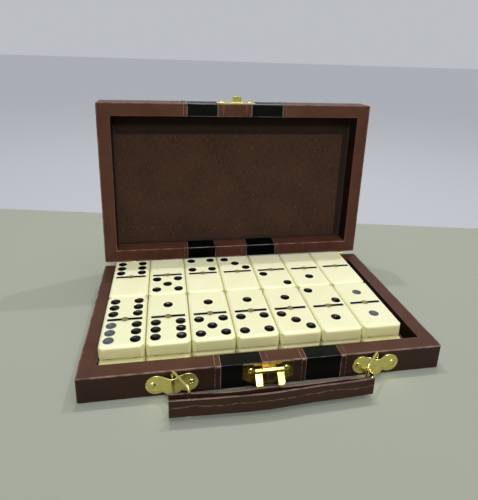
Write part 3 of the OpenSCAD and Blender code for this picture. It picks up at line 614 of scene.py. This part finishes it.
def sew(name, body, lines):
    """Stitches along the given lines of points, as one plain mesh."""
    mesh = bpy.data.meshes.new(name + "_lines")
    points, edges = [], []
    for line in lines:
        edges += [(len(points) + k, len(points) + k + 1) for k in range(len(line) - 1)]
        points += line
    mesh.from_pydata([tuple(p) for p in points], edges, [])
    guide = bpy.data.objects.new(name + "_guide", mesh)
    bpy.context.scene.collection.objects.link(guide)
    maker = guide.modifiers.new("sewing", "NODES")
    maker.node_group = row_of_stitches
    values = {
        "Pitch": stitch_pitch * MM,
        "Length": stitch_length * MM,
        "Thickness": stitch_thick * MM,
        "Thread": thread,
    }
    for item in row_of_stitches.interface.items_tree:
        if item.in_out == "INPUT" and item.name in values:
            maker[item.identifier] = values[item.name]
    seen = guide.evaluated_get(bpy.context.evaluated_depsgraph_get())
    plain = bpy.data.meshes.new_from_object(seen)
    plain.name = name
    bpy.data.objects.remove(guide)
    row = bpy.data.objects.new(name, plain)
    bpy.context.scene.collection.objects.link(row)
    for face in plain.polygons:
        face.use_smooth = True
    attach(row, body)
    return row


def seam_lines(hems, h, place_of, foot, lift):
    """Lines of the seams along the far edge of each hem, over both long walls."""
    lines = []
    for k, (x0, x1) in enumerate(hems):
        x = x0 - 0.1 if k % 2 == 0 else x1 + 0.1
        for side in (-1, 1):
            line = []
            for across, height, slope in wall_path(h, side, foot, seam_end):
                rise = lift - rim_sink * max(0, slope[1], -side * slope[0])
                line.append(place_of(x, across + slope[0] * rise, height + slope[1] * rise))
            lines.append(line)
    return lines


base_seams = seam_lines(base_hems, base_high.z, base_place, 1.8, 0.05)
lid_seams = seam_lines(lid_hems, lid_high.y - lid_low.y, lid_place, 1.8, 0.05)
sew("base_stitches", "base", base_seams)
sew("lid_stitches", "lid", lid_seams)

# ---------- brass fittings ----------
# Pressed and plated sheet, bright and a little yellow-green: the catch with its bail, the
# keeper, the two brackets with their wire rings, the hinges and every screw.
brass, tree, place = finish_of("bright_plated_brass")
stain = put(tree, "TexNoise", {"Vector": place, "Scale": 1 / (3 * MM), "Detail": 4, "Roughness": 0.6})
rub = put(tree, "TexNoise", {"Vector": place, "Scale": 1 / (0.3 * MM), "Detail": 3})
mixed = put(tree, "MapRange", (stain, 0.35, 0.7))
yellow = put(tree, "Mix", {0: mixed, 6: paint("#dccd78"), 7: paint("#eae092")}, data_type="RGBA")
polish = put(tree, "MapRange", (stain, 0.3, 0.7, 0.16, 0.27))
bump = put(tree, "Bump", {"Height": rub, "Distance": 0.01 * MM, "Strength": 0.4})
metal = put(
    tree, "BsdfPrincipled", {"Base Color": yellow, "Metallic": 1.0, "Roughness": polish, "Normal": bump}
)
put(tree, "OutputMaterial", {"Surface": metal})
# how far each fitting's edges are rounded, in mm
rounded_fittings = {
    "catch_plate": 0.22,
    "catch_bail": 0.35,
    "keeper_plate": 0.22,
    "handle_bracket_left": 0.25,
    "handle_bracket_right": 0.25,
    "hinge_base_leaves": 0.15,
    "hinge_lid_leaves": 0.15,
    "hinge_pins": 0.1,
    "catch_screws": 0.06,
    "keeper_screws": 0.06,
    "bracket_screws": 0.06,
    "hinge_base_screws": 0.06,
    "hinge_lid_screws": 0.06,
}
fittings = {}
for solid, round_mm in rounded_fittings.items():
    fittings[solid] = dressed(solid, solid + "_brass", brass, None, round_mm, 2)

# the catch plate's flat front face is painted a dark brown brass, a painted reflection of the dark strap
# and gap in front of it; only its edges and roll keep the bright brass
painted_reflection, tree, place = finish_of("painted_reflection_brass")
plate_blotches = put(tree, "TexNoise", {"Vector": place, "Scale": 1 / (4 * MM), "Detail": 3, "Roughness": 0.6})
mixed = put(tree, "MapRange", (plate_blotches, 0.4, 0.65))
brown = put(tree, "Mix", {0: mixed, 6: paint("#6d5422"), 7: paint("#967e40")}, data_type="RGBA")
metal = put(tree, "BsdfPrincipled", {"Base Color": brown, "Metallic": 1.0, "Roughness": 0.22})
put(tree, "OutputMaterial", {"Surface": metal})
plate = fittings["catch_plate"].data
plate.materials.append(painted_reflection)
for face in plate.polygons:
    if face.normal.y < -0.97:
        face.material_index = 1
for solid in ("handle_ring_left", "handle_ring_right"):
    dressed(solid, solid + "_wire", brass, None, 0.05, 1, 80)

# ---------- strap handle ----------
# One piece of leatherette folded in two along its lower edge, with its raw edges up and a
# stiff card in the fold. The far bars of the rings pass through holes in the fold.
strap_low, strap_high = (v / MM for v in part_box("handle_strap"))
strap_turn = math.radians(0.9)
# the middles of the rings' far bars, seen from above
ring_left_bar, ring_right_bar = Vector((-45.71, -76.52)), Vector((49.9, -73.99))
strap_mid = (ring_left_bar + ring_right_bar) / 2
strap_t = 1.1
strap_foot, strap_top, lap_x = strap_low.z, strap_high.z, -1.0


def on_strap(point):
    """A point seen from above, along and across the strap from the middle between the bars."""
    d = point - strap_mid
    return Vector(
        (
            d.x * math.cos(strap_turn) + d.y * math.sin(strap_turn),
            d.y * math.cos(strap_turn) - d.x * math.sin(strap_turn),
        )
    )


left_on, right_on = on_strap(ring_left_bar), on_strap(ring_right_bar)
# it ends 10.1 mm past the left bar, and past the right one by the wire, its play and skin
wire_r, play, beyond = 0.8, 0.05, 1.25
strap_x0, strap_x1 = left_on.x - 10.1, right_on.x + wire_r + play + beyond

# where the middle of each layer runs, in front of (-) and behind (+) the line of the bars
front_run = [(-58, -3.1), (-30, -4.65), (-8, -5.55), (15, -4.55), (32, -4.35), (50, -3.85)]
back_run = [(-58, 1.9), (-42, 0.6), (-29, -0.9), (-7, -0.9), (15, -1.1), (32, -0.65), (50, 0.1)]


def run_at(run, x):
    """The run's place across the strap at x, as a smooth curve through its points."""
    k = max(i for i in range(len(run) - 1) if i == 0 or run[i][0] <= x)
    (x0, y0), (x1, y1) = run[k], run[k + 1]
    before, after = run[max(k - 1, 0)], run[min(k + 2, len(run) - 1)]
    slope_0, slope_1 = (y1 - before[1]) / (x1 - before[0]), (after[1] - y0) / (after[0] - x0)
    t, wide = (x - x0) / (x1 - x0), x1 - x0
    return (
        y0 * (2 * t**3 - 3 * t**2 + 1)
        + y1 * (3 * t**2 - 2 * t**3)
        + wide * (slope_0 * (t**3 - 2 * t**2 + t) + slope_1 * (t**3 - t**2))
    )


# the holes for the rings in the fold, from and to along the strap
holes = [(left_on.x - 2.05, left_on.x + 1.1), (right_on.x - 0.95, right_on.x + 1.5)]
strap_steps = 88
hole_ends = [x for hole in holes for x in hole]
even = [strap_x0 + (strap_x1 - strap_x0) * k / strap_steps for k in range(strap_steps + 1)]
stations = sorted(set(even + hole_ends))
# none lies inside a hole, and none so near to its ends that a sliver is left
stations = [
    x
    for x in stations
    if not any(a + 1e-6 < x < b - 1e-6 for a, b in holes)
    and (min(abs(x - e) for e in hole_ends) > 0.35 or any(abs(x - e) < 1e-6 for e in hole_ends))
]
shape = bmesh.new()
lanes = []
half_t = strap_t / 2
# how sharply the middle of the skin turns at the fold
turn = 0.62
for x in stations:
    wave = noise.noise(Vector((x / 9, 0.4, 0)))
    wave_back = noise.noise(Vector((x / 8, 5.1, 0)))
    y_front, y_back = run_at(front_run, x), run_at(back_run, x)
    top_front = strap_top - 0.12 + 0.12 * wave
    # the back layer ends in a lap near the middle, is lower beyond it and drops at its end
    drop = 0.5 if x < lap_x else 1.2 + 1.4 * max(0.0, (x - 32) / 18)
    top_back = strap_top - drop - 0.15 + 0.15 * wave_back
    foot = strap_foot + half_t
    # down the front layer, round the fold and up the back layer
    lane = [(y_front, top_front + (foot + turn - top_front) * k / 6) for k in range(7)]
    lane += [
        (y_front + turn - turn * math.cos(a), foot + turn - turn * math.sin(a)) for a in (0.4, 0.8, 1.2)
    ]
    lane += [(y_front + turn + (y_back - y_front - 2 * turn) * k / 2, foot) for k in range(3)]
    lane += [
        (y_back - turn + turn * math.sin(a), foot + turn - turn * math.cos(a)) for a in (0.4, 0.8, 1.2)
    ]
    lane += [(y_back, foot + turn + (top_back - foot - turn) * k / 5) for k in range(6)]
    lanes.append([(x, y, z) for y, z in lane])
cos_t, sin_t = math.cos(strap_turn), math.sin(strap_turn)


def handle_place(x, y, z):
    """The place in the frame of a point along, across and above the strap."""
    return Vector((strap_mid.x + x * cos_t - y * sin_t, strap_mid.y + x * sin_t + y * cos_t, z)) * MM


# the fold's own part of a lane, which the holes leave out
fold_first, fold_last = 7, 14
grid = [[shape.verts.new(handle_place(*p)) for p in lane] for lane in lanes]
for i in range(len(stations) - 1):
    holed = any(abs(stations[i] - a) < 1e-6 for a, b in holes)
    for j in range(len(grid[0]) - 1):
        if holed and fold_first <= j <= fold_last:
            continue
        shape.faces.new((grid[i][j], grid[i + 1][j], grid[i + 1][j + 1], grid[i][j + 1]))
bmesh.ops.recalc_face_normals(shape, faces=shape.faces)
mesh = bpy.data.meshes.new("strap_leatherette")
shape.to_mesh(mesh)
shape.free()
for face in mesh.polygons:
    face.use_smooth = True
brown_strap = leatherette("brown_leatherette_strap", "#2f1c12", "#382216", 0.4, crease=strap_foot + 6.3)
mesh.materials.append(brown_strap)
mesh.materials.append(worn_edge("brown_leatherette_strap_edge", "#38221a", "#6f5046"))
strap = bpy.data.objects.new("strap_leatherette", mesh)
bpy.context.scene.collection.objects.link(strap)
wall = strap.modifiers.new("thickness", "SOLIDIFY")
wall.thickness = strap_t * MM
wall.offset = 0
wall.use_even_offset = True
wall.material_offset_rim = 1
soft_edge = strap.modifiers.new("edges", "BEVEL")
soft_edge.width = 0.25 * MM
soft_edge.segments = 2
soft_edge.limit_method = "ANGLE"
soft_edge.angle_limit = math.radians(50)
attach(strap, "handle")
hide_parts("handle_strap")
refinish("handle_core", fibreboard)

# ---------- tiles ----------
# Twenty-eight cast tiles the colour of old ivory, with drilled and painted pips, a painted
# groove between the halves and the round brass head of a spinner pin in its middle.
def cast_resin(name, face_a, face_b):
    """Old ivory resin: faces turned up painted face_a..face_b, faces turned aside painted darker and
    yellower, a painted shade.
    """
    made, tree, place = finish_of(name)
    cloud = put(tree, "TexNoise", {"Vector": place, "Scale": 1 / (18 * MM), "Detail": 3})
    grime = put(tree, "TexNoise", {"Vector": place, "Scale": 1 / (2.5 * MM), "Detail": 4, "Roughness": 0.6})
    normal = put(tree, "TexCoord").outputs["Normal"]
    facing = put(tree, "SeparateXYZ", {0: normal}).outputs
    mixed = put(tree, "MapRange", (cloud, 0.35, 0.65))
    # faces turned aside are painted this darker yellow, a painted shade
    cast = put(tree, "Mix", {0: mixed, 6: paint("#d6d098"), 7: paint("#dcd6a0")}, data_type="RGBA")
    # the long sides, which face the neighbouring tiles across the gaps, are painted paler than the ends,
    # painted light in the gaps
    off_end = put(tree, "Math", (facing["X"],), operation="ABSOLUTE")
    gap_side_light = put(tree, "MapRange", (off_end, 0.3, 0.8))
    cast = put(tree, "Mix", {0: gap_side_light, 6: cast, 7: paint("#f2edb2")}, data_type="RGBA")
    face = put(tree, "Mix", {0: mixed, 6: paint(face_a), 7: paint(face_b)}, data_type="RGBA")
    # painted shade: the more a face turns from the top, the more it takes the side colour
    upward = put(tree, "MapRange", (facing["Z"], -0.15, 0.75))
    tint = put(tree, "Mix", {0: upward, 6: cast, 7: face}, data_type="RGBA")
    soiled = put(tree, "MapRange", (grime, 0.62, 0.78, 0, 0.18))
    tint = put(tree, "Mix", {0: soiled, 6: tint, 7: paint("#cfc48e")}, data_type="RGBA")
    polish = put(tree, "MapRange", (grime, 0.3, 0.7, 0.36, 0.46))
    bump = put(tree, "Bump", {"Height": cloud, "Distance": 0.12 * MM, "Strength": 0.5})
    resin = put(
        tree,
        "BsdfPrincipled",
        {
            "Base Color": tint,
            "Roughness": polish,
            "Subsurface Weight": 0.8,
            "Subsurface Radius": (1.0, 0.95, 0.8),
            "Subsurface Scale": 0.003,
            "Normal": bump,
        },
    )
    put(tree, "OutputMaterial", {"Surface": resin})
    return made


ivory = cast_resin("cast_ivory_resin", "#eeedc4", "#f1f0cb")
# the lower layer's faces are painted darker and yellower, a painted shade for its ledges in front of the
# upper layer
ivory_lower_shaded = cast_resin("cast_ivory_resin_lower_layer_shaded", "#d2cb92", "#d8d29c")


def pip_paint(name, worn):
    """Glossy black enamel in the hollows, scratched through to grey where it is worn."""
    made, tree, place = finish_of(name)
    scratch = put(
        tree, "TexNoise", {"Vector": place, "Scale": 1 / (0.45 * MM), "Detail": 3, "Roughness": 0.7}
    )
    colour = paint("#0b0c0a")
    if worn:
        bare = put(tree, "MapRange", (scratch, 0.4, 0.66))
        colour = put(tree, "Mix", {0: bare, 6: paint("#15181a"), 7: paint("#7d8486")}, data_type="RGBA")
    dust = put(tree, "MapRange", (scratch, 0.6, 0.8))
    colour = put(tree, "Mix", {0: dust, 6: colour, 7: paint("#2b2d2a")}, data_type="RGBA")
    bump = put(tree, "Bump", {"Height": scratch, "Distance": 0.02 * MM, "Strength": 0.4})
    gloss = 0.4 if worn else 0.08
    enamel = put(
        tree,
        "BsdfPrincipled",
        {"Base Color": colour, "Roughness": gloss, "Specular IOR Level": 0.22, "Normal": bump},
    )
    put(tree, "OutputMaterial", {"Surface": enamel})
    return made


# the spinner's head is dull from handling
spinner_brass, tree, place = finish_of("dull_spinner_brass")
patch = put(tree, "TexNoise", {"Vector": place, "Scale": 1 / (0.8 * MM)})
mixed = put(tree, "MapRange", (patch, 0.4, 0.6))
dull = put(tree, "Mix", {0: mixed, 6: paint("#7d7a3c"), 7: paint("#b3ac60")}, data_type="RGBA")
metal = put(tree, "BsdfPrincipled", {"Base Color": dull, "Metallic": 0.85, "Roughness": 0.5})
put(tree, "OutputMaterial", {"Surface": metal})
enamel = pip_paint("black_pip_enamel", False)
enamel_worn = pip_paint("black_pip_enamel_worn", True)
worn_places = {"tile_6_6": lambda x, y: x < -2 and y < 0, "tile_1_1": lambda x, y: True}


# where pips can be on a tile, from its middle, and how far their hollows reach
pip_columns, pip_rows = (-7.2, 0, 7.2), (-19.3, -12.5, -5.7, 5.7, 12.5, 19.3)
pip_reach = 2.6
# the groove's half width, where it starts beside the pin, and from where its ends are moved
groove_reach, groove_start, groove_ends = 0.95, 1.7, 9


def spread(x, y, share):
    """A point of a tile's face moved out or in about the middle of its own pip. The groove's
    edges are moved out by 30 %, and its ends by 4 %."""
    for cx in pip_columns:
        for cy in pip_rows:
            if math.hypot(x - cx, y - cy) < pip_reach:
                return cx + share * (x - cx), cy + share * (y - cy)
    if abs(y) < groove_reach and abs(x) > groove_start:
        return x * (1.04 if abs(x) > groove_ends else 1), 1.3 * y
    return x, y


upper_layer_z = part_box("tile_6_6")[0].z
# half the width and length of a tile's flat face, and a depth under all its hollows
face_half_w, face_half_l, hollow_floor = 10.2, 22.9, 6
# how wide the pips of each layer and the pins' heads look, as shares of their solids
upper_share, lower_share, pin_share = 1.2, 0.88, 0.88


def tile_piece(solid):
    """The tile with each face's finish set by where it lies."""
    mesh = solids[solid].data.copy()
    mesh.name = solid + "_cast"
    shape = bmesh.new()
    shape.from_mesh(mesh)
    bmesh.ops.remove_doubles(shape, verts=shape.verts, dist=2e-6)
    low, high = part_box(solid)
    middle = (low + high) / 2
    upper = low.z > upper_layer_z - 1 * MM
    # each island of joined points is one solid: the tile itself or the narrow head of its pin
    seen = set()
    for first in list(shape.verts):
        if first in seen:
            continue
        island, queue = [], [first]
        seen.add(first)
        while queue:
            v = queue.pop()
            island.append(v)
            for e in v.link_edges:
                w = e.other_vert(v)
                if w not in seen:
                    seen.add(w)
                    queue.append(w)
        wide = max(v.co.x for v in island) - min(v.co.x for v in island)
        pin = wide < 8 * MM
        for v in island:
            x, y = (v.co.x - middle.x) / MM, (v.co.y - middle.y) / MM
            if pin:
                x, y = pin_share * x, pin_share * y
            elif high.z - v.co.z < 0.9 * MM:
                x, y = spread(x, y, upper_share if upper else lower_share)
            v.co.x, v.co.y = middle.x + x * MM, middle.y + y * MM
        if not pin:
            # the flat face is filled afresh round the moved edges of its hollows
            flat = {
                f
                for v in island
                for f in v.link_faces
                if all(high.z - w.co.z < 0.002 * MM for w in f.verts)
            }
            bmesh.ops.delete(shape, geom=list(flat), context="FACES_KEEP_BOUNDARY")
            island = [v for v in island if v.is_valid]
            edges = list({e for v in island for e in v.link_edges if e.is_boundary})
            bmesh.ops.triangle_fill(shape, use_beauty=True, edges=edges, normal=(0, 0, 1))
        for f in {f for v in island for f in v.link_faces}:
            spots = [
                ((v.co.x - middle.x) / MM, (v.co.y - middle.y) / MM, (high.z - v.co.z) / MM)
                for v in f.verts
            ]
            x, y = (sum(spot[k] for spot in spots) / len(spots) for k in (0, 1))
            # the hollows are all that dips under the top face inside its rounded edges
            sunk = max(spot[2] for spot in spots) > 0.02 and all(
                abs(a) < face_half_w and abs(b) < face_half_l and d < hollow_floor for a, b, d in spots
            )
            if pin:
                f.material_index = 3
            elif sunk and f.normal.z > -0.5:
                worn = worn_places.get(solid, lambda x, y: False)(x, y)
                f.material_index = 2 if worn and abs(y) > 2 else 1
            else:
                f.material_index = 0
            f.smooth = True
    for e in shape.edges:
        if len(e.link_faces) == 2 and e.calc_face_angle(0) > math.radians(28):
            e.smooth = False
    mesh.materials.clear()
    for finish in (ivory if upper else ivory_lower_shaded, enamel, enamel_worn, spinner_brass):
        mesh.materials.append(finish)
    shape.to_mesh(mesh)
    shape.free()
    piece = bpy.data.objects.new(solid + "_cast", mesh)
    bpy.context.scene.collection.objects.link(piece)
    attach(piece, body_of_solid[solid])
    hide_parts(solid)


for solid in sorted(n for n in solids if n.startswith("tile_")):
    tile_piece(solid)

# ---------- floor and light ----------
# A plain pale surface under the box, a broad lamp in front and a softer one above, two
# small ones behind for the glints in metal and paint, and an even pale surround.
bpy.ops.mesh.primitive_plane_add(size=30, location=(0, 0, -0.0002))
floor = bpy.context.object
floor.name = "floor"
ground, tree, place = finish_of("pale_floor")
# behind a straight line 191 mm from the middle, turned 11.7 degrees, it is bluish
parts = put(tree, "SeparateXYZ", {"Vector": place}).outputs
line_turn = math.radians(11.7)
east = put(tree, "Math", (parts["X"], math.sin(line_turn)), operation="MULTIPLY")
north = put(tree, "Math", (parts["Y"], math.cos(line_turn)), operation="MULTIPLY")
off_middle = put(tree, "Math", (east, north), operation="ADD")
behind = put(tree, "MapRange", (off_middle, 189 * MM, 193 * MM))
ground_tint = put(tree, "Mix", {0: behind, 6: paint("#a1a698"), 7: paint("#b9bcc2")}, data_type="RGBA")
stone = put(
    tree, "BsdfPrincipled", {"Base Color": ground_tint, "Roughness": 0.85, "Specular IOR Level": 0.1}
)
put(tree, "OutputMaterial", {"Surface": stone})
floor.data.materials.append(ground)


def lamp(name, kind, power, size, place_mm, aim_mm=(0, 0, 20)):
    """A soft lamp: an area of size (mm, mm), or a distant one as wide as size degrees."""
    light = bpy.data.lights.new(name, kind)
    light.energy = power
    if kind == "SUN":
        light.angle = math.radians(size)
    else:
        light.shape = "RECTANGLE"
        light.size, light.size_y = (s * MM for s in size)
    holder = bpy.data.objects.new(name, light)
    bpy.context.scene.collection.objects.link(holder)
    holder.location = Vector(place_mm) * MM
    aim = (Vector(aim_mm) - Vector(place_mm)).normalized()
    holder.rotation_mode = "QUATERNION"
    holder.rotation_quaternion = aim.to_track_quat("-Z", "Y")


lamp("main_lamp", "SUN", 1.7, 12, (20, -750, 580))
lamp("overhead", "SUN", 1.3, 60, (60, -20, 900))
lamp("spot_left", "AREA", 1.2, (16, 16), (-70, 225, 830))
lamp("spot_right", "AREA", 1.2, (16, 16), (250, 225, 830))

world = bpy.data.worlds.new("surround")
bpy.context.scene.world = world
world.use_nodes = True
tree = world.node_tree
tree.nodes.clear()
rays = put(tree, "LightPath").outputs
seen = put(tree, "Math", (rays["Is Camera Ray"], rays["Is Glossy Ray"]), operation="MAXIMUM")
strength = put(tree, "MapRange", (seen, 0, 1, 0.1, 0.68))
sky = put(tree, "Background", {"Color": paint("#dfe2e8"), "Strength": strength})
put(tree, "OutputWorld", {"Surface": sky.outputs[0]})

bpy.context.scene.view_settings.view_transform = "Standard"
